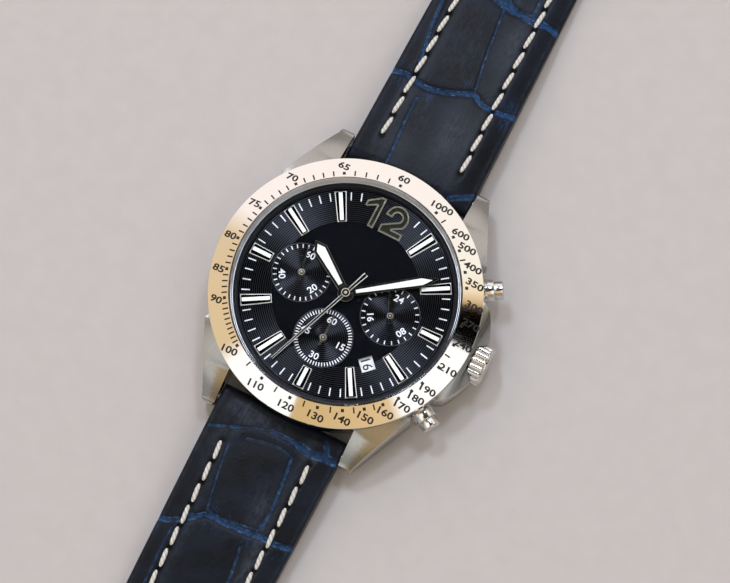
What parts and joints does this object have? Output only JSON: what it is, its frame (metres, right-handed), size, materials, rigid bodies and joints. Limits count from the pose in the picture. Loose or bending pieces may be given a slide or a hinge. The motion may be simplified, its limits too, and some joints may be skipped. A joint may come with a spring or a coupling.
{
  "type": "wristwatch",
  "caption": "Round steel chronograph wristwatch on an open leather strap: fixed scale bezel, crown with pushers, small counter dials, turning hands, keepers and a pin buckle.",
  "frame": {"origin": "on the hands' axis at the case back's outer face, where the watch rests", "axes": "+Z out through the dial, +Y to 12 o'clock and the buckle, +X to 3 o'clock and the crown"},
  "size_m": [0.0429, 0.2446, 0.0107],
  "materials": {
    "polished_steel": "polished",
    "brushed_steel": "brushed",
    "bezel_steel": "polished, dark engraved scale",
    "spring_steel": "satin",
    "crystal_glass": "clear, polished",
    "dial_lacquer": "satin lacquer with fine rings",
    "lume_paint": "matt luminous paint",
    "hand_steel": "polished",
    "brass_plate": "gilt",
    "brass_wheel": "satin",
    "date_paint": "matt",
    "nylon_ring": "matt",
    "copper_winding": "enamelled wire",
    "soft_iron": "plain",
    "battery_steel": "plain",
    "navy_leather": "waxed, worn",
    "lining_leather": "smooth"
  },
  "bodies": {
    "case": {"case_middle": "brushed_steel", "bezel": "bezel_steel", "crystal": "crystal_glass", "rehaut": "polished_steel", "case_back": "brushed_steel", "spring_bars": "spring_steel", "crown_tube": "polished_steel", "pusher_tubes": "polished_steel", "main_plate": "brass_plate", "movement_ring": "nylon_ring", "train_bridge": "brass_plate", "motor_coils": "copper_winding", "motor_cores": "soft_iron", "battery": "battery_steel", "battery_clamp": "spring_steel", "dial": "dial_lacquer", "hour_markers": "hand_steel", "marker_lume": "lume_paint", "numeral_twelve": "hand_steel"},
    "crown_slide": {"setting_lever": "spring_steel"},
    "crown": {"crown": "polished_steel", "stem": "spring_steel"},
    "start_pusher": {"start_pusher": "polished_steel"},
    "reset_pusher": {"reset_pusher": "polished_steel"},
    "minute_hand": {"cannon_pinion": "spring_steel", "minute_hand": "hand_steel", "minute_hand_lume": "lume_paint"},
    "minute_wheel": {"minute_wheel": "brass_wheel"},
    "hour_hand": {"hour_wheel": "brass_wheel", "hour_hand": "hand_steel", "hour_hand_lume": "lume_paint"},
    "day_idler": {"day_idler": "brass_wheel"},
    "day_hand": {"day_wheel": "brass_wheel", "day_hand": "polished_steel"},
    "chrono_seconds": {"chrono_seconds_arbor": "spring_steel", "chrono_seconds_hand": "polished_steel"},
    "counter_wheel": {"counter_wheel": "brass_wheel"},
    "chrono_minutes": {"counter_arbor": "brass_wheel", "chrono_minutes_hand": "polished_steel"},
    "small_seconds": {"small_seconds_arbor": "brass_wheel", "small_seconds_hand": "polished_steel"},
    "date_ring": {"date_ring": "date_paint"},
    "buckle_strap": {"strap_buckle_side": "navy_leather", "strap_buckle_lining": "lining_leather", "fixed_keeper": "navy_leather"},
    "tail_strap": {"strap_tail_side": "navy_leather", "strap_tail_lining": "lining_leather"},
    "free_keeper": {"free_keeper": "navy_leather"},
    "buckle": {"buckle_frame": "polished_steel", "buckle_bar": "spring_steel"},
    "tongue": {"buckle_tongue": "polished_steel"}
  },
  "joints": [
    {"name": "crown_pull", "type": "slide", "parent": "case", "child": "crown_slide", "axis": [1, 0, 0], "range_m": [0, 0.0009]},
    {"name": "crown_spin", "type": "hinge", "parent": "crown_slide", "child": "crown", "pos_m": [0.0205, 0, 0.0048], "axis": [1, 0, 0], "continuous": true},
    {"name": "start_press", "type": "slide", "parent": "case", "child": "start_pusher", "axis": [-0.866, -0.5, 0], "range_m": [0, 0.0009], "stiffness_N_per_m": 1500, "springref_m": -0.0005},
    {"name": "reset_press", "type": "slide", "parent": "case", "child": "reset_pusher", "axis": [-0.866, 0.5, 0], "range_m": [0, 0.0009], "stiffness_N_per_m": 1500, "springref_m": -0.0005},
    {"name": "minute_hand_turn", "type": "hinge", "parent": "case", "child": "minute_hand", "pos_m": [0, 0, 0.0075], "axis": [0, 0, 1], "continuous": true},
    {"name": "minute_wheel_turn", "type": "hinge", "parent": "case", "child": "minute_wheel", "pos_m": [-0.00214, -0.0018, 0.0075], "axis": [0, 0, 1], "continuous": true},
    {"name": "hour_hand_turn", "type": "hinge", "parent": "case", "child": "hour_hand", "pos_m": [0, 0, 0.0075], "axis": [0, 0, 1], "continuous": true},
    {"name": "day_idler_turn", "type": "hinge", "parent": "case", "child": "day_idler", "pos_m": [0.00306, 0.00149, 0.0075], "axis": [0, 0, 1], "continuous": true},
    {"name": "day_hand_turn", "type": "hinge", "parent": "case", "child": "day_hand", "pos_m": [0.0072, 0, 0.0075], "axis": [0, 0, 1], "continuous": true},
    {"name": "chrono_seconds_turn", "type": "hinge", "parent": "case", "child": "chrono_seconds", "pos_m": [0, 0, 0.0075], "axis": [0, 0, 1], "continuous": true},
    {"name": "counter_wheel_turn", "type": "hinge", "parent": "case", "child": "counter_wheel", "pos_m": [-0.0036, 0, 0.0075], "axis": [0, 0, 1], "continuous": true},
    {"name": "chrono_minutes_turn", "type": "hinge", "parent": "case", "child": "chrono_minutes", "pos_m": [-0.0072, 0, 0.0075], "axis": [0, 0, 1], "continuous": true},
    {"name": "small_seconds_turn", "type": "hinge", "parent": "case", "child": "small_seconds", "pos_m": [0, -0.0072, 0.0075], "axis": [0, 0, 1], "continuous": true},
    {"name": "date_ring_turn", "type": "hinge", "parent": "case", "child": "date_ring", "pos_m": [0, 0, 0.0075], "axis": [0, 0, 1], "continuous": true},
    {"name": "buckle_strap_hinge", "type": "hinge", "parent": "case", "child": "buckle_strap", "pos_m": [0, 0.021, 0.0033], "axis": [1, 0, 0], "range_deg": [-65, 55]},
    {"name": "tail_strap_hinge", "type": "hinge", "parent": "case", "child": "tail_strap", "pos_m": [0, -0.021, 0.0033], "axis": [-1, 0, 0], "range_deg": [-65, 55]},
    {"name": "free_keeper_slide", "type": "slide", "parent": "buckle_strap", "child": "free_keeper", "axis": [0, 1, 0], "range_m": [-0.01, 0.0029]},
    {"name": "buckle_hinge", "type": "hinge", "parent": "buckle_strap", "child": "buckle", "pos_m": [0, 0.096, 0.0025], "axis": [1, 0, 0], "range_deg": [-50, 45]},
    {"name": "tongue_hinge", "type": "hinge", "parent": "buckle", "child": "tongue", "pos_m": [0, 0.096, 0.0025], "axis": [1, 0, 0], "range_deg": [0, 85]}
  ],
  "couplings": [
    {"joint": "minute_wheel_turn", "follows": "minute_hand_turn", "ratio": -0.33333},
    {"joint": "hour_hand_turn", "follows": "minute_hand_turn", "ratio": 0.083333},
    {"joint": "day_idler_turn", "follows": "minute_hand_turn", "ratio": -0.034722},
    {"joint": "day_hand_turn", "follows": "minute_hand_turn", "ratio": 0.041667},
    {"joint": "counter_wheel_turn", "follows": "chrono_seconds_turn", "ratio": -0.125},
    {"joint": "chrono_minutes_turn", "follows": "chrono_seconds_turn", "ratio": 0.016667}
  ]
}
